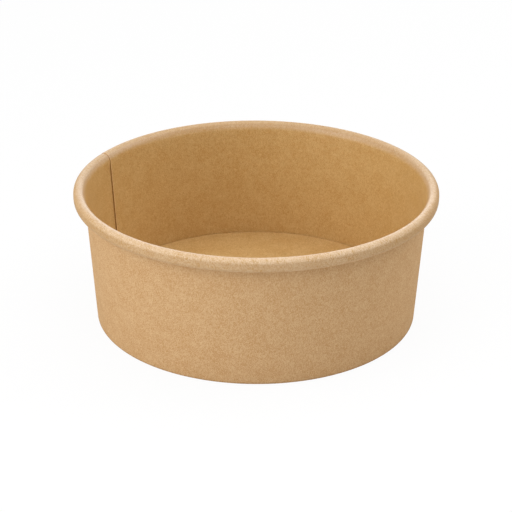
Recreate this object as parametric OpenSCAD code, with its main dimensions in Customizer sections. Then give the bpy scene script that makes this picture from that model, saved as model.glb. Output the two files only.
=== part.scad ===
// Round kraft paperboard salad bowl, made of two pieces of coated board.
// The side wall is one blank, wrapped into a cone and glued to itself along a lap seam. Its top
// edge is rolled outward into the rim. Its bottom edge is folded in and up, and that hem holds
// the turned-down skirt of the base disc. The origin is the centre of the foot, with +Z up.

/* [Bowl] */
// Outside diameter over the rolled rim
rim_d = 150; // [142:1:180]
// Outside diameter of the foot
foot_d = 134; // [100:1:138]
// Height from the table to the top of the rim
bowl_h = 57; // [40:1:90]
// Thickness of the side wall's board
wall_board = 0.45; // [0.3:0.05:0.7]

/* [Rolled rim] */
// Width of the roll, from the inside of the wall to its outermost face
roll_w = 4.9; // [4:0.1:6.5]
// Height from the roll's lower curve up to the middle of its upper half
roll_flat = 0.9; // [0.2:0.1:4]
// Radius of the wide bend from the wall's inner face into the roll
flare_r = 5; // [3:0.1:5.5]
// How far that bend turns, in degrees
flare_turn = 31; // [20:1:33]
// Radius of the roll's upper outer corner
corner_r = 2; // [1.5:0.1:2.1]
// How far the board curls on inside the roll, past the roll's lowest point, in degrees
tuck_turn = 150; // [100:5:200]
// Gap between the tucked-in curl and the wall
tuck_gap = 0.15; // [0.05:0.05:0.5]

/* [Foot] */
// Inner radius of each fold at the bottom edge
fold_in_r = 0.05; // [0.02:0.01:0.15]
// Gap from the hem's raw edge up to the underside of the base disc
hem_gap = 0.6; // [0.3:0.1:1.5]

/* [Base disc] */
// Height of the base disc's top face above the table
base_rise = 5; // [3.5:0.1:12]
// Thickness of the base disc's board
base_board = 0.45; // [0.3:0.05:0.7]
// Inner radius of the bend between the disc and its skirt
base_bend_in_r = 0.3; // [0.1:0.05:0.8]
// Clearance on each side of the skirt, inside the folded foot
skirt_gap = 0.05; // [0.02:0.01:0.2]
// Gap from the skirt's raw edge down to the fold
skirt_end_gap = 0.2; // [0.1:0.05:1]

/* [Side seam] */
// Direction of the blank's inner raw edge, counter-clockwise from +X, in degrees
seam_a = 153.4; // [0:0.1:360]
// Width of the glued lap
lap_w = 7; // [3:0.5:15]
// Height under the roll over which the lap is pressed flat
lap_press = 0.3; // [0.1:0.1:3]
// Thickness of the glue between the lap's two layers
glue_t = 0.03; // [0.01:0.01:0.1]

/* [Hidden] */
wall_colour = [0.74, 0.59, 0.42];
base_colour = [0.70, 0.54, 0.34];
turn_fn = 240;
arc_steps = 8;

// The roll: its lower half and the smaller curl that tucks back in have one centre line
roll_r = roll_w / 2;
roll_cr = rim_d / 2 - roll_r;
roll_top_cz = bowl_h - roll_r;
roll_low_cz = roll_top_cz - roll_flat;
roll_bottom = roll_low_cz - roll_r;

// The wall's lean from upright. Its outer face runs from the foot's edge to a line that is
// tangent to the roll's inner circle.
foot_r = foot_d / 2;
foot_to_roll = [roll_cr - foot_r, roll_top_cz];
lean = atan(foot_to_roll[0] / foot_to_roll[1]) - asin((roll_r - wall_board) / norm(foot_to_roll));
out_dir = [cos(lean), -sin(lean)];

// The roll's upper half: the wall flares out wide up to the lip, a shoulder goes on from there to
// the highest line, and a smaller corner turns down into the upright outer side
lip_a = lean + flare_turn;
crest_at = [rim_d / 2 - corner_r, bowl_h];
flare_rise = flare_r * (sin(lip_a) - sin(lean));
flare_reach = flare_r * (cos(lean) - cos(lip_a));
shoulder_reach = crest_at[0] - inset_r(bowl_h - flare_rise, wall_board) - flare_reach;
shoulder_r = shoulder_reach / (cos(lip_a) - tan(lean) * (1 - sin(lip_a)));
shoulder_c = crest_at - [0, shoulder_r];
flare_c = shoulder_c + (flare_r - shoulder_r) * [cos(lip_a), -sin(lip_a)];
corner_c = crest_at - [0, corner_r];

// The tucked-in curl clears the wall's outer face by tuck_gap
tuck_r = (roll_r - wall_board - tuck_gap + (roll_flat + roll_r) * sin(lean)) / (1 + sin(lean));
tuck_cz = roll_bottom + tuck_r;

// The folded foot: wall, skirt with its clearances, and hem, side by side
fold_out_r = fold_in_r + wall_board;
pocket_w = base_board + 2 * skirt_gap;
foot_w = 2 * wall_board + pocket_w;
fold_out_c = [inset_r(fold_out_r, fold_out_r), fold_out_r];
fold_in_c = [inset_r(fold_out_r, foot_w - fold_out_r), fold_out_r];
hem_top = base_rise - base_board - hem_gap;

// The base disc's bend and skirt
base_bend_out_r = base_bend_in_r + base_board;
base_bend_cz = base_rise - base_bend_out_r;
skirt_inset = wall_board + skirt_gap;
base_bend_c = [inset_r(base_bend_cz, skirt_inset + base_bend_out_r), base_bend_cz];
skirt_low = wall_board + skirt_end_gap;

// The lap shows between the base disc and the roll, and is pressed flat beyond them
lap_low = base_bend_cz;
lap_high = roll_bottom - lap_press;
lap_mid_r = inset_r((lap_low + lap_high) / 2, wall_board);
lap_a = lap_w / lap_mid_r * 180 / PI;

// The outer layer leaves the cone along a tangent and is one board further out at the inner raw
// edge, after an angle of run_a. Its faces start run_skin inside the curved board's faces, and it
// goes on by bite into the board round it, and by bite_a into the lap.
run_a = acos(lap_mid_r / (lap_mid_r + wall_board));
run_reach = 2 * lap_mid_r * tan(run_a);
run_skin = 0.03;
bite = 0.3;
bite_a = 0.1;

// Radius at height z of a line that lies inset in from the wall's outer face and parallel to it
function inset_r(z, inset) = foot_r + (z * sin(lean) - inset) / cos(lean);

// Points of an arc, from one angle to another
function arc(centre, r, from_a, to_a) = [
    for (i = [0:arc_steps])
        let (a = from_a + (to_a - from_a) * i / arc_steps)
            centre + r * [cos(a), sin(a)]
];

// Straight board in section, between two insets from the wall's outer face and two heights
module leaning_strip(outer_inset, inner_inset, low, high) {
    polygon([
        [inset_r(low, outer_inset), low],
        [inset_r(high, outer_inset), high],
        [inset_r(high, inner_inset), high],
        [inset_r(low, inner_inset), low]
    ]);
}

// Section of the rim, from the top of the lap over the roll to the tucked-in raw edge and back
module rim_section() {
    low_c = [roll_cr, roll_low_cz];
    tuck_c = [roll_cr, tuck_cz];
    tuck_a = -90 - tuck_turn;
    polygon(concat(
        [[inset_r(lap_high, wall_board), lap_high]],
        arc(flare_c, flare_r, 180 - lean, 180 - lip_a),
        arc(shoulder_c, shoulder_r, 180 - lip_a, 90),
        arc(corner_c, corner_r, 90, 0),
        arc(low_c, roll_r, 0, -90),
        arc(tuck_c, tuck_r, -90, tuck_a),
        arc(tuck_c, tuck_r - wall_board, tuck_a, -90),
        arc(low_c, roll_r - wall_board, -90, 0),
        arc(corner_c, corner_r - wall_board, 0, 90),
        arc(shoulder_c, shoulder_r - wall_board, 90, 180 - lip_a),
        arc(flare_c, flare_r - wall_board, 180 - lip_a, 180 - lean),
        [[inset_r(lap_high, 0), lap_high]]
    ));
}

// Section of the foot, from the bottom of the lap round the fold to the hem's raw edge and back
module foot_section() {
    polygon(concat(
        [[inset_r(lap_low, 0), lap_low]],
        arc(fold_out_c, fold_out_r, -lean, -90),
        arc(fold_in_c, fold_out_r, -90, -180 - lean),
        [[inset_r(hem_top, foot_w), hem_top], [inset_r(hem_top, foot_w - wall_board), hem_top]],
        arc(fold_in_c, fold_in_r, -180 - lean, -90),
        arc(fold_out_c, fold_in_r, -90, -lean),
        [[inset_r(lap_low, wall_board), lap_low]]
    ));
}

// The blank: single board round to the inner raw edge, two layers in the lap, and between them
// the outer layer's straight run, which climbs over the inner raw edge
module side_wall() {
    color(wall_colour) {
        rotate_extrude($fn = turn_fn) rim_section();
        rotate_extrude($fn = turn_fn) foot_section();
        rotate_extrude(start = seam_a + run_a, angle = 360 - run_a - lap_a + bite_a, $fn = turn_fn)
            leaning_strip(0, wall_board, lap_low, lap_high);
        rotate_extrude(start = seam_a - lap_a, angle = lap_a, $fn = turn_fn)
            leaning_strip(-wall_board - glue_t, wall_board, lap_low, lap_high);
        climbing_run();
    }
}

// The outer layer's straight run, from inside the single board to just inside the lap, where a
// wedge cuts it off
module climbing_run() {
    wedge_a = 2 * run_a;
    intersection() {
        rotate([90, 0, seam_a + run_a])
            translate([0, 0, -bite])
                linear_extrude(run_reach)
                    leaning_strip(run_skin, wall_board - run_skin, lap_low - bite, lap_high + bite);
        rotate([0, 0, seam_a - bite_a])
            linear_extrude(bowl_h)
                polygon([[0, 0], [rim_d, 0], rim_d * [cos(wedge_a), sin(wedge_a)]]);
    }
}

// A flat disc with its edge turned down into a skirt that leans as the wall does
module base_disc() {
    color(base_colour) rotate_extrude($fn = turn_fn)
        polygon(concat(
            [[0, base_rise - base_board], [0, base_rise]],
            arc(base_bend_c, base_bend_out_r, 90, -lean),
            [[inset_r(skirt_low, skirt_inset), skirt_low]],
            [[inset_r(skirt_low, skirt_inset + base_board), skirt_low]],
            arc(base_bend_c, base_bend_in_r, -lean, 90)
        ));
}

side_wall();
base_disc();
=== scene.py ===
from math import asin, atan, atan2, cos, degrees, hypot, pi, radians, sin, tan

import bmesh
import bpy
from mathutils import Matrix, Vector


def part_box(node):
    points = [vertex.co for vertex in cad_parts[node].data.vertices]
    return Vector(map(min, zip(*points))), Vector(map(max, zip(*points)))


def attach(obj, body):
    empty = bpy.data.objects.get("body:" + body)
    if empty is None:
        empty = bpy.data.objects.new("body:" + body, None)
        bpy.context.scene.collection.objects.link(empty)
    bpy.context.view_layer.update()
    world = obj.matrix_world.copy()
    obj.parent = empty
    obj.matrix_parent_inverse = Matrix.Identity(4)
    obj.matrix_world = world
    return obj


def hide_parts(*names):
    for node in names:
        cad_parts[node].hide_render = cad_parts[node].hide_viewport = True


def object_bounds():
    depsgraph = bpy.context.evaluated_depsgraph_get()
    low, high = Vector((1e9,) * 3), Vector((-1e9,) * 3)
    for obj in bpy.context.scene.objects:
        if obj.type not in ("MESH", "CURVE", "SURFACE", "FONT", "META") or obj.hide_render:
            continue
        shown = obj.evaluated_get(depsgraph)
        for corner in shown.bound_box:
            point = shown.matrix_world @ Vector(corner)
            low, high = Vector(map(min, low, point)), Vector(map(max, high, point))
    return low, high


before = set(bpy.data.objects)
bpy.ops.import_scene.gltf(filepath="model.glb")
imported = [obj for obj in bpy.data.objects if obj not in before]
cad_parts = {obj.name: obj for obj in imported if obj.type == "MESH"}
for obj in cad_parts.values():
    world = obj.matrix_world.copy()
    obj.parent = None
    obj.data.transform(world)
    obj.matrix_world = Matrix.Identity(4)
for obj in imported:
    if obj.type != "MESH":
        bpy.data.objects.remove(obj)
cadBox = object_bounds()
scene = bpy.context.scene
mm = 0.001

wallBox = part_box("side_wall")
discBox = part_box("base_disc")


# Camera and light

photo = {
    "lens": 114.64,              # millimetres
    "sensor": 36,                # width in millimetres
    "distance": 682 * mm,        # from the point aimed at, on the bowl's axis
    "aimHeight": 30 * mm,
    "elevation": 24.671,         # degrees above the table
    "tiltDown": 0.476,
    "leanLeft": 0.239,
}


def placeCamera():
    camera = bpy.data.objects.new("camera", bpy.data.cameras.new("camera"))
    scene.collection.objects.link(camera)
    camera.data.lens = photo["lens"]
    camera.data.sensor_width = photo["sensor"]
    up = radians(photo["elevation"])
    away = Vector((0, -cos(up), sin(up))) * photo["distance"]
    aim = Matrix.Rotation(radians(90 - photo["elevation"] - photo["tiltDown"]), 4, "X")
    turn = Matrix.Rotation(radians(photo["leanLeft"]), 4, "Z")
    camera.matrix_world = Matrix.Translation(Vector((0, 0, photo["aimHeight"])) + away) @ aim @ turn
    scene.camera = camera
    print("camera placed")


studio = {
    # name: azimuth from the camera's side (to the left), elevation, distance, width, watts
    "left": (62, 28, 0.9, 0.80, 4.5),
    "front": (0, 55, 0.34, 0.22, 0.2),
    "rightRear": (-108, 40, 0.9, 0.60, 2.7),
    "overhead": (180, 80, 0.9, 0.70, 2.05),
    "rear": (180, 13, 0.9, 0.35, 0.4),
}


def hangLamps():
    for name, (azimuth, elevation, distance, width, watts) in studio.items():
        lamp = bpy.data.objects.new(name, bpy.data.lights.new(name, "AREA"))
        lamp.data.shape = "SQUARE"
        lamp.data.size = width
        lamp.data.energy = watts
        lamp.visible_camera = False
        scene.collection.objects.link(lamp)
        side, up = radians(azimuth), radians(elevation)
        towards = Vector((-sin(side) * cos(up), -cos(side) * cos(up), sin(up)))
        lamp.location = towards * distance
        lamp.rotation_mode = "QUATERNION"
        lamp.rotation_quaternion = towards.to_track_quat("Z", "Y")
    print("lamps hung")


# Nodes: a small wrapper, so that a pattern reads as a sum

class Signal:
    def __init__(self, finish, socket):
        self.finish = finish
        self.socket = socket

    def __add__(self, other):
        return self.finish.maths("ADD", self, other)

    def __radd__(self, other):
        return self.finish.maths("ADD", other, self)

    def __sub__(self, other):
        return self.finish.maths("SUBTRACT", self, other)

    def __rsub__(self, other):
        return self.finish.maths("SUBTRACT", other, self)

    def __mul__(self, other):
        return self.finish.maths("MULTIPLY", self, other)

    def __rmul__(self, other):
        return self.finish.maths("MULTIPLY", other, self)


class Finish:
    def __init__(self, name, owner=None):
        self.material = owner or bpy.data.materials.new(name)
        self.material.use_nodes = True
        self.tree = self.material.node_tree
        self.shader = self.tree.nodes.get("Principled BSDF")

    def node(self, kind, settings, inputs, output=0):
        made = self.tree.nodes.new(kind)
        for name, value in settings.items():
            setattr(made, name, value)
        for name, value in inputs.items():
            self.feed(made.inputs[name], value)
        return Signal(self, made.outputs[output])

    def maths(self, operation, *values):
        return self.node("ShaderNodeMath", {"operation": operation}, dict(enumerate(values)))

    def mixColours(self, share, low, high):
        return self.node("ShaderNodeMix", {"data_type": "RGBA"}, {0: share, 6: low, 7: high}, 2)

    def mark(self, name):
        # one of the marks that markWearAndPaintedLight leaves on the board: wear, gloss, and painted
        # light and shade
        return self.node("ShaderNodeAttribute", {"attribute_name": name}, {}, "Fac")

    def feed(self, socket, value):
        if isinstance(value, Signal):
            self.tree.links.new(value.socket, socket)
        elif isinstance(value, str):
            socket.default_value = paint(value)
        else:
            socket.default_value = value

    def set(self, **inputs):
        for name, value in inputs.items():
            self.feed(self.shader.inputs[name.replace("_", " ")], value)


def channels(code):
    # red, green and blue of a colour as a screen shows it, such as "c8a374"
    return [int(code[i:i + 2], 16) for i in (0, 2, 4)]


def paint(code):
    # the light that such a colour stands for
    shown = [level / 255 for level in channels(code)]
    return [c / 12.92 if c <= 0.04045 else ((c + 0.055) / 1.055) ** 2.4 for c in shown] + [1]


# The room: white where it is seen or mirrored, plain soft light where it lights

room = {
    "daylight": 0.5,             # the room's own soft light on the bowl
    "floorReach": 6,             # metres from the bowl to the floor's edge
    "floorTone": 0.86,
    "floorWhiteness": 0.93,      # share of plain white where the floor is seen, shadow or not
}
white = (1, 1, 1, 1)


def seenDirectly(finish):
    path = "ShaderNodeLightPath"
    camera = finish.node(path, {}, {}, "Is Camera Ray")
    glossy = finish.node(path, {}, {}, "Is Glossy Ray")
    through = finish.node(path, {}, {}, "Is Transmission Ray")
    return finish.maths("MAXIMUM", camera, finish.maths("MAXIMUM", glossy, through))


def lightRoom():
    world = bpy.data.worlds.new("studio")
    scene.world = world
    air = Finish("studio", world)
    lighting = air.node("ShaderNodeBackground", {}, {"Color": white, "Strength": room["daylight"]})
    backdrop = air.node("ShaderNodeBackground", {}, {"Color": white, "Strength": 1})
    both = air.node("ShaderNodeMixShader", {}, {0: seenDirectly(air), 1: lighting, 2: backdrop})
    air.feed(air.tree.nodes["World Output"].inputs[0], both)
    print("room lit")


def layFloor():
    bm = bmesh.new()
    bmesh.ops.create_grid(bm, x_segments=2, y_segments=2, size=room["floorReach"])
    mesh = bpy.data.meshes.new("floor")
    bm.to_mesh(mesh)
    bm.free()
    floor = bpy.data.objects.new("floor", mesh)
    scene.collection.objects.link(floor)
    finish = Finish("pale floor")
    finish.set(Base_Color=(*[room["floorTone"]] * 3, 1), Roughness=0.9)
    plain = finish.node("ShaderNodeEmission", {}, {"Color": white, "Strength": 1})
    both = finish.node("ShaderNodeMixShader", {}, {
        0: seenDirectly(finish) * room["floorWhiteness"],
        1: Signal(finish, finish.shader.outputs[0]),
        2: plain})
    finish.feed(finish.tree.nodes["Material Output"].inputs[0], both)
    mesh.materials.append(finish.material)
    print("floor laid")


# Kraft board

kraft = {
    # colours: each is the middle tone of its face
    "outside": "c19c70",         # the bare face
    "coated": "c49e63",          # the same board under its coating, inside the bowl
    "base": "c8a166",            # the base disc's coated face
    "rolled": "b99568",          # on the rim, a less saturated tone than the inside
    "paintedLight": "cdaf8c",          # painted light: paler on top of the rim, most at the front
    "rawEdge": "a67e4b",
    "pressedEdge": "c89e72",     # the raw edge where it is pressed into the roll
    "cutHighlight": "f0d2a4",       # a painted highlight along the cut edge at the seam
    "shade": "8a6230",           # in the seam, under the roll and in the fold at the foot
    # how much of the last two shows at the most
    "cornerShare": 0.35,
    "shadeShare": 0.6,
    "foldShare": 0.35,
    # tone
    "contrast": 30,              # from the darkest to the lightest, in steps of 255
    "byChannel": (0.72, 1, 1.2),              # share of it in red, green and blue
    "coatedDepth": 1.35,         # how deep the pattern is under the wall's coating
    "baseDepth": 2.7,            # and under the base's
    "rimDepth": 0.75,
    "smoothness": 0.2,           # share of the grain and fibres that the coating hides
    # pattern
    "cloud": (130, 0.75),        # soft patches: how many a metre, and how strong
    "flock": (430, 0.6),
    "grain": (3000, 3.4),
    "fibre": (1.6 * mm, 0.36 * mm),           # length and width
    "fibreBand": (0.55, 0.72),   # the noise level at which a fibre starts, and is full
    "darkFibres": ((78, 0.8), (124, 0.8)),    # direction in degrees, and how strong
    "lightFibres": ((61, 0.7), (161, 0.7)),
    "relief": 0.04 * mm,
}


def kraftTone(finish, seed, shown=1, depth=1):
    # from 0 to 1, mostly round one half: soft patches, felted grain and short fibres
    noise, mapping = "ShaderNodeTexNoise", "ShaderNodeMapping"
    blank = finish.node("ShaderNodeUVMap", {"uv_map": "blank"}, {})
    placed = finish.node(mapping, {}, {"Vector": blank, "Location": (seed, 0.37 * seed, 0)})
    cloud, flock, felt = [
        (finish.node(noise, {}, {"Vector": placed, "Scale": scale, "Detail": 2}) - 0.5) * strength
        for scale, strength in (kraft["cloud"], kraft["flock"], kraft["grain"])]
    fibreStart, fibreFull = kraft["fibreBand"]
    for sign, name in ((-1, "darkFibres"), (1, "lightFibres")):
        for turn, strength in kraft[name]:
            laid = finish.node(mapping, {"vector_type": "TEXTURE"}, {
                "Vector": placed,
                "Location": (0.011 * turn, 0, 0),     # so that no two layers fall together
                "Rotation": (0, 0, radians(turn)),
                "Scale": (*kraft["fibre"], 1)})
            field = finish.node(noise, {}, {"Vector": laid, "Scale": 1, "Detail": 1})
            strands = finish.node("ShaderNodeMapRange", {}, {
                "Value": field, "From Min": fibreStart, "From Max": fibreFull, "To Min": 0, "To Max": 1})
            felt = felt + strands * (sign * strength)
    return (cloud + flock + felt * shown) * depth + 0.5, felt


def tones(name):
    # the darkest and lightest tone round a middle one: kraft varies most in blue
    ends = []
    for sign in (-0.5, 0.5):
        change = [sign * kraft["contrast"] * share for share in kraft["byChannel"]]
        levels = [round(min(max(c + d, 0), 255)) for c, d in zip(channels(kraft[name]), change)]
        ends.append("".join("%02x" % level for level in levels))
    return ends


def bareKraft():
    finish = Finish("bare kraft")
    tone, relief = kraftTone(finish, 0.2)
    face = finish.mixColours(tone, *tones("outside"))
    # the fold at the foot gets painted shade
    finish.set(
        Base_Color=finish.mixColours(finish.mark("foldShade") * kraft["foldShare"], face, kraft["shade"]),
        Roughness=0.8 + (tone - 0.5) * 0.15,
        Normal=finish.node("ShaderNodeBump", {}, {
            "Height": relief, "Strength": 0.3, "Distance": kraft["relief"]}),
        Specular_IOR_Level=0.05)
    return finish.material


def coatedKraft(name, colour, depth):
    finish = Finish(name)
    rolled, paintedLight = finish.mark("rolled"), finish.mark("paintedLight")
    tone, relief = kraftTone(finish, 0.9, 1 - (1 - rolled) * kraft["smoothness"], depth)
    inside = finish.mixColours(tone, *tones(colour))
    spread = (tone - 0.5) * kraft["rimDepth"] + 0.5
    # pale: painted light on top of the roll
    rim, pale = [finish.mixColours(spread, *tones(part)) for part in ("rolled", "paintedLight")]
    # the tone frays the line where the rim's colour starts
    face = finish.mixColours(rolled * (tone * 0.8 + 0.8), inside, finish.mixColours(paintedLight, rim, pale))
    # a painted highlight along the cut edge at the seam
    face = finish.mixColours(finish.mark("worn") * kraft["cornerShare"], face, kraft["cutHighlight"])
    face = finish.mixColours(finish.mark("shaded") * kraft["shadeShare"], face, kraft["shade"])
    finish.set(
        Base_Color=face,
        Roughness=0.6 + (tone - 0.5) * 0.2,
        Normal=finish.node("ShaderNodeBump", {}, {
            "Height": relief, "Strength": 0.15, "Distance": kraft["relief"]}),
        Coat_Weight=finish.mark("glossy"),
        Coat_Roughness=0.38,
        Specular_IOR_Level=0.05)
    return finish.material


def rawKraft():
    finish = Finish("raw edge of the board")
    tone, _ = kraftTone(finish, 1.7)
    plain, pressed = [finish.mixColours(tone, *tones(part)) for part in ("rawEdge", "pressedEdge")]
    finish.set(
        Base_Color=finish.mixColours(finish.mark("rolled"), plain, pressed),
        Roughness=0.95,
        Specular_IOR_Level=0.1)
    return finish.material


def giveThickness(piece, thickness, coated, bare, raw, group=""):
    for finish in (coated, bare, raw):
        piece.data.materials.append(finish)
    solid = piece.modifiers.new("board", "SOLIDIFY")
    solid.thickness = thickness
    solid.offset = -1
    solid.use_even_offset = True
    solid.material_offset = 1
    solid.material_offset_rim = 2
    if group:
        solid.vertex_group = group
        solid.thickness_vertex_group = 0.5
    made = bpy.data.meshes.new_from_object(piece.evaluated_get(bpy.context.evaluated_depsgraph_get()))
    piece.modifiers.clear()
    piece.data = made
    made.name = piece.name
    made.shade_smooth()
    made.set_sharp_from_angle(angle=radians(40))


# The side wall's blank

wall = {
    "footRadius": 67 * mm,       # outside, where the wall's line meets the table
    "board": 0.45 * mm,
    "rollWidth": 4.9 * mm,
    "rollFlat": 0.9 * mm,        # from the roll's lower curve up to the middle of its upper half
    "corner": 2.0 * mm,          # radius of the roll's upper outer corner
    "flare": 5.0 * mm,           # radius of the wide bend from the wall into the roll
    "flareTurn": 31,             # and how far it turns, in degrees
    "tuckGap": 0.15 * mm,        # from the tucked-in curl to the wall
    "tuckTurn": 150,             # degrees that the curl goes on past the roll's lowest point
    "foldRadius": 0.05 * mm,     # inside each fold of the foot
    "foldTop": 1.0 * mm,         # height at which the wall is plain board again
    "pocket": 0.55 * mm,         # room for the disc's skirt in the folded foot
    "hemGap": 0.6 * mm,          # from the hem's raw edge up to the disc
    "seam": 153.4,               # direction of the inner raw edge, degrees from +X
    # degrees round the bowl and how many steps, from the inner raw edge back to it: fine at the seam
    "sweeps": ((1, 5), (7, 7), (342, 228), (7, 14), (2, 8), (1, 8)),
}

lap = {
    "width": 6,                  # degrees of glued overlap
    "glue": 0.03 * mm,
    "climb": 6.6,                # degrees over which the outer layer climbs onto the lap
    "pressedClimb": 2.2,         # the same in the roll and in the foot, where the lap is pressed flat
    "freeFrom": -1.5 * mm,       # height over the disc's top at which the two layers start to part
    "freeOver": 2.5 * mm,        # and how much further up they lie free
    "freeTo": 1.0 * mm,          # depth under the roll's middle, above which none lies free
    "pressOver": 3.5 * mm,       # and how far below that the pressing starts
}

rimRadius = wallBox[1].x
rimHeight = cadBox[1].z
rollRadius = wall["rollWidth"] / 2
rollCentre = Vector((rimRadius - rollRadius, 0, rimHeight - rollRadius))
board = wall["board"]
toRoll = (rollCentre.x - wall["footRadius"], rollCentre.z)
lean = atan(toRoll[0] / toRoll[1]) - asin((rollRadius - board) / hypot(*toRoll))
outward = Vector((cos(lean), 0, -sin(lean)))
discTop = discBox[1].z


def wallPoint(height, inset):
    # a point of a line that runs inset in from the wall's outer face
    return Vector((wall["footRadius"] + (height * sin(lean) - inset) / cos(lean), 0, height))


def fromAxis(vert):
    return hypot(vert.co.x, vert.co.y)


def ease(x):
    x = min(max(x, 0), 1)
    return x * x * (3 - 2 * x)


def runTo(bm, tip, target, steps):
    step = (target - tip.co) / steps
    for _ in range(steps):
        tip = bmesh.ops.extrude_vert_indiv(bm, verts=[tip])["verts"][0]
        tip.co += step
    return tip


def bendRound(bm, tip, centre, turn, steps):
    # turn is in degrees, clockwise as seen with the axis on the left
    made = bmesh.ops.spin(
        bm, geom=[tip], cent=centre, axis=(0, 1, 0), angle=radians(turn), steps=steps)
    return [part for part in made["geom_last"] if isinstance(part, bmesh.types.BMVert)][0]


def rollBends():
    # where the wall's line ends, and the centres and turn of the bends from there to the outer side
    lip = lean + radians(wall["flareTurn"])
    crest = Vector((rimRadius - wall["corner"], 0, rimHeight))
    flareRise = wall["flare"] * (sin(lip) - sin(lean))
    flareReach = wall["flare"] * (cos(lean) - cos(lip))
    reach = crest.x - wallPoint(rimHeight - flareRise, board).x - flareReach
    shoulder = reach / (cos(lip) - tan(lean) * (1 - sin(lip)))
    start = wallPoint(rimHeight - flareRise - shoulder * (1 - sin(lip)), board)
    lipPoint = start + Vector((flareReach, 0, flareRise))
    flareCentre = start + outward * wall["flare"]
    shoulderCentre = lipPoint + Vector((cos(lip), 0, -sin(lip))) * shoulder
    cornerCentre = crest - Vector((0, 0, wall["corner"]))
    return start, flareCentre, shoulderCentre, 90 - degrees(lip), cornerCentre


def foldFoot(bm):
    # the coated face in section, from the hem's raw edge round both folds and up to plain board
    fold = wall["foldRadius"]
    foldOut = fold + board
    footWidth = 2 * board + wall["pocket"]
    hemTop = discTop - board - wall["hemGap"]
    innerFold = wallPoint(foldOut, footWidth - foldOut)
    outerFold = wallPoint(foldOut, foldOut)
    tip = bm.verts.new(wallPoint(hemTop, footWidth - board))
    tip = runTo(bm, tip, innerFold - outward * fold, 4)
    tip = bendRound(bm, tip, innerFold, -90 - degrees(lean), 5)
    tip = runTo(bm, tip, outerFold - Vector((0, 0, fold)), 1)
    tip = bendRound(bm, tip, outerFold, degrees(lean) - 90, 5)
    return runTo(bm, tip, wallPoint(wall["foldTop"], board), 1)


def rollRim(bm, tip):
    # on up the wall, over the roll and round into the tucked-in curl
    flareStart, flareCentre, shoulderCentre, shoulderTurn, cornerCentre = rollBends()
    lowCentre = rollCentre - Vector((0, 0, wall["rollFlat"]))
    rollBottom = lowCentre.z - rollRadius
    curlRoom = rollRadius - board - wall["tuckGap"]
    tuckRadius = (curlRoom + (wall["rollFlat"] + rollRadius) * sin(lean)) / (1 + sin(lean))
    tuckCentre = Vector((rollCentre.x, 0, rollBottom + tuckRadius))
    tip = runTo(bm, tip, flareStart, 28)
    tip = bendRound(bm, tip, flareCentre, wall["flareTurn"], 9)
    tip = bendRound(bm, tip, shoulderCentre, shoulderTurn, 9)
    tip = bendRound(bm, tip, cornerCentre, 90, 10)
    tip = runTo(bm, tip, lowCentre + Vector((rollRadius, 0, 0)), 2)
    tip = bendRound(bm, tip, lowCentre, 90, 10)
    bendRound(bm, tip, tuckCentre, wall["tuckTurn"], 14)


def measureAlong(bm):
    along = bm.verts.layers.float.new("along")
    bm.verts.ensure_lookup_table()
    for before, vert in zip(bm.verts, bm.verts[1:]):
        vert[along] = before[along] + (vert.co - before.co).length


def wrapRound(bm):
    # the blank goes once round, with the camera's right hand first, and on over its own start
    travel = bm.verts.layers.float.new("travel")
    toSeam = Matrix.Rotation(radians(wall["seam"]), 3, "Z")
    bmesh.ops.rotate(bm, verts=bm.verts, cent=(0, 0, 0), matrix=toSeam)
    edge = bm.verts[:] + bm.edges[:]
    gone = 0
    for sweep, steps in (*wall["sweeps"], (lap["width"], 10)):
        known = len(bm.verts)
        made = bmesh.ops.spin(
            bm, geom=edge, cent=(0, 0, 0), axis=(0, 0, -1), angle=radians(sweep), steps=steps)
        edge = made["geom_last"]
        bm.verts.ensure_lookup_table()
        for vert in bm.verts[known:]:
            azimuth = degrees(atan2(vert.co.y, vert.co.x))
            vert[travel] = gone + (wall["seam"] - gone - azimuth + 1) % 360 - 1
        gone += sweep
    return travel


def layLap(bm, travel):
    # the outer layer climbs over the inner raw edge; both are pressed thin in the roll and the foot
    group = bm.verts.layers.deform.verify()
    freeTop = rollCentre.z - lap["freeTo"]
    bm.normal_update()
    for vert in bm.verts:
        gone, height = vert[travel], vert.co.z
        inside, outside = wallPoint(height, board * 1.5).x, wallPoint(height, 0).x + 0.2 * mm
        inWall = inside < fromAxis(vert) < outside
        low = ease((height - discTop - lap["freeFrom"]) / lap["freeOver"])
        high = ease((freeTop - height) / lap["pressOver"])
        free = low * high if inWall else 0
        climb = lap["pressedClimb"] + (lap["climb"] - lap["pressedClimb"]) * free
        part = min(max((gone - 360 + climb) / climb, 0), 1)
        raised = part * part
        step = (board + lap["glue"]) * (1 + free) / 2
        vert.co -= vert.normal * step * raised
        under = 1 - ease(gone - lap["width"])
        vert[group][0] = 1 - (1 - free) * max(raised, under)


def mapBlank(bm, travel):
    along = bm.verts.layers.float["along"]
    place = bm.loops.layers.uv.new("blank")
    for face in bm.faces:
        for loop in face.loops:
            loop[place].uv = (radians(loop.vert[travel]) * rimRadius, loop.vert[along])


# Wear, painted light and painted shade on the side wall

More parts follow.
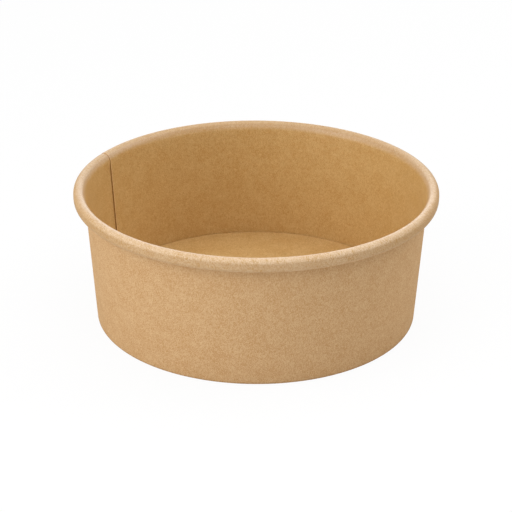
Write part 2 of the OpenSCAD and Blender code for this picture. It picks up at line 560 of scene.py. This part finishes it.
# wear, gloss, painted light and painted shade on the side wall
wearAndPaintedLight = {
    # heights count up from the roll's middle, and reaches outwards from it
    "rolledFrom": -1.1 * mm,     # where the rim's tone starts inside the rim
    "rolledOver": 2.8 * mm,
    "paintedLightFrom": (1.1 * mm, 0.5 * mm),       # where the painted light on top starts, on the inner and the outer slope
    "paintedLightOver": 1.0 * mm,
    "paintedLightBack": 15,            # degrees off the far side of the rim where the painted light starts
    "paintedLightFront": 115,          # and how many more until it is full
    "paintedLightSide": 0.55,          # how much painted light the roll's outer side gets at the front
    "cornerFrom": 0.6 * mm,      # reach at which the outer corner starts, at the left and the right
    "cornerOver": 1.4 * mm,
    "gloss": 0.12,               # what is left of the coating's gloss on the roll's outer side
    "cutHighlight": 0.6,            # degrees of painted highlight along the cut edge at the seam
    "seamShade": (0.2, 0.7, 60 * mm),         # degrees off the seam and wide, and the depth where full
    "sideShade": 0.25,           # on the outer side of the roll
    "rightShade": 0.35,          # on its right outer corner
    "foldHeight": 0.7 * mm,      # from the table up to where the painted shade in the fold at the foot ends
}


def markWearAndPaintedLight(bm, travel):
    # rolled: one on the roll, falling to nothing just below it on the inside
    # paintedLight: painted light, paler on the top of the roll, least at the back and on the outer
    # corner at the sides, and on some of its outer side at the front
    # glossy: the coating's gloss, scuffed off the outer side of the roll
    # worn: a painted highlight along the cut corner at the seam
    # shaded: the outer layer just beside that corner, the outer side of the roll, and its outer
    # corner on the right
    # foldShade: painted shade in the fold at the foot
    rolled, paintedLight, glossy, worn, shaded, foldShade = [
        bm.verts.layers.float.new(name)
        for name in ("rolled", "paintedLight", "glossy", "worn", "shaded", "foldShade")]
    seamOff, seamWide, seamDown = wearAndPaintedLight["seamShade"]
    for vert in bm.verts:
        outside = fromAxis(vert) > wallPoint(vert.co.z, -0.2 * mm).x
        height = vert.co.z - rollCentre.z
        reach = fromAxis(vert) - rollCentre.x
        offBack = abs(degrees(atan2(vert.co.x, vert.co.y)))
        # painted light: the roll's top paler, most towards the front, and some of its outer side paler
        # at the front
        top = ease((height - wearAndPaintedLight["paintedLightFrom"][reach > 0]) / wearAndPaintedLight["paintedLightOver"])
        atSides = ease(1 - abs(offBack - 90) / 60)
        corner = atSides * ease((reach - wearAndPaintedLight["cornerFrom"]) / wearAndPaintedLight["cornerOver"])
        paintedLightTop = ease((offBack - wearAndPaintedLight["paintedLightBack"]) / wearAndPaintedLight["paintedLightFront"]) * (1 - corner)
        paintedLightSide = wearAndPaintedLight["paintedLightSide"] * ease((offBack - 110) / 50)
        beside = 1 - ease((360 - seamOff - vert[travel]) / seamWide)
        right = wearAndPaintedLight["rightShade"] if vert.co.x > 0 else 0
        scuffed = (1 - wearAndPaintedLight["gloss"]) * ease(reach / rollRadius)
        vert[rolled] = 1 if outside else ease((height - wearAndPaintedLight["rolledFrom"]) / wearAndPaintedLight["rolledOver"])
        vert[paintedLight] = top * paintedLightTop + (1 - top) * paintedLightSide
        vert[glossy] = wearAndPaintedLight["gloss"] if height < 0 and outside else 1 - scuffed
        # painted highlight along the cut edge
        vert[worn] = 1 - ease(vert[travel] / wearAndPaintedLight["cutHighlight"])
        # painted shade in the fold at the foot
        vert[foldShade] = 1 if vert.co.z < wearAndPaintedLight["foldHeight"] else 0
        if outside:
            vert[shaded] = max(wearAndPaintedLight["sideShade"] * (1 - top), right * corner)
        else:
            vert[shaded] = beside * ease(-height / seamDown)


def makeSideWall(coated, bare, raw):
    bm = bmesh.new()
    rollRim(bm, foldFoot(bm))
    measureAlong(bm)
    travel = wrapRound(bm)
    mapBlank(bm, travel)
    markWearAndPaintedLight(bm, travel)
    middle = min(bm.faces, key=lambda f: abs(f.calc_center_median().z - rimHeight / 2))
    centre = middle.calc_center_median()
    if middle.normal.dot(Vector((centre.x, centre.y, 0))) > 0:
        bmesh.ops.reverse_faces(bm, faces=bm.faces)
    layLap(bm, travel)
    mesh = bpy.data.meshes.new("sideWall")
    bm.to_mesh(mesh)
    bm.free()
    piece = bpy.data.objects.new("sideWall", mesh)
    scene.collection.objects.link(piece)
    piece.vertex_groups.new(name="full board")
    giveThickness(piece, board, coated, bare, raw, "full board")
    print("side wall made:", len(piece.data.polygons), "faces")
    return piece


# The base disc

disc = {
    "board": 0.45 * mm,
    "bendRadius": 0.3 * mm,      # inside the bend between disc and skirt
    "gap": 0.05 * mm,            # from the skirt to the wall
    "gloss": 0.8,
}


def makeBaseDisc(coated, bare, raw):
    bendOut = disc["bendRadius"] + disc["board"]
    inset = board + disc["gap"]
    bend = wallPoint(discTop - bendOut, inset + bendOut)
    bm = bmesh.new()
    tip = bm.verts.new((0, 0, discTop))
    tip = runTo(bm, tip, Vector((bend.x, 0, discTop)), 14)
    tip = bendRound(bm, tip, bend, 90 + degrees(lean), 8)
    runTo(bm, tip, wallPoint(discBox[0].z, inset), 4)
    bmesh.ops.spin(
        bm, geom=bm.verts[:] + bm.edges[:], cent=(0, 0, 0), axis=(0, 0, 1), angle=2 * pi, steps=240,
        use_merge=True)
    bmesh.ops.remove_doubles(bm, verts=bm.verts, dist=0.001 * mm)
    bmesh.ops.recalc_face_normals(bm, faces=bm.faces)
    bm.faces.ensure_lookup_table()
    top = min(bm.faces, key=lambda f: f.calc_center_median().xy.length)
    if top.normal.z < 0:
        bmesh.ops.reverse_faces(bm, faces=bm.faces)
    glossy = bm.verts.layers.float.new("glossy")
    for vert in bm.verts:
        vert[glossy] = disc["gloss"]
    place = bm.loops.layers.uv.new("blank")
    for face in bm.faces:
        for loop in face.loops:
            down = loop.vert.co.xy.normalized() * (discTop - loop.vert.co.z)
            loop[place].uv = loop.vert.co.xy + down
    mesh = bpy.data.meshes.new("baseDisc")
    bm.to_mesh(mesh)
    bm.free()
    piece = bpy.data.objects.new("baseDisc", mesh)
    scene.collection.objects.link(piece)
    giveThickness(piece, disc["board"], coated, bare, raw)
    print("base disc made:", len(piece.data.polygons), "faces")
    return piece


placeCamera()
hangLamps()
lightRoom()
layFloor()
bareFace, rawFace = bareKraft(), rawKraft()
wallFace = coatedKraft("coated kraft, wall", "coated", kraft["coatedDepth"])
baseFace = coatedKraft("coated kraft, base", "base", kraft["baseDepth"])
sideWall = makeSideWall(wallFace, bareFace, rawFace)
baseDisc = makeBaseDisc(baseFace, bareFace, rawFace)
for piece, node, slot in ((sideWall, "side_wall", "kraft_wall"), (baseDisc, "base_disc", "kraft_base")):
    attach(piece, "root")
    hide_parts(node)

scene.view_settings.view_transform = "Standard"
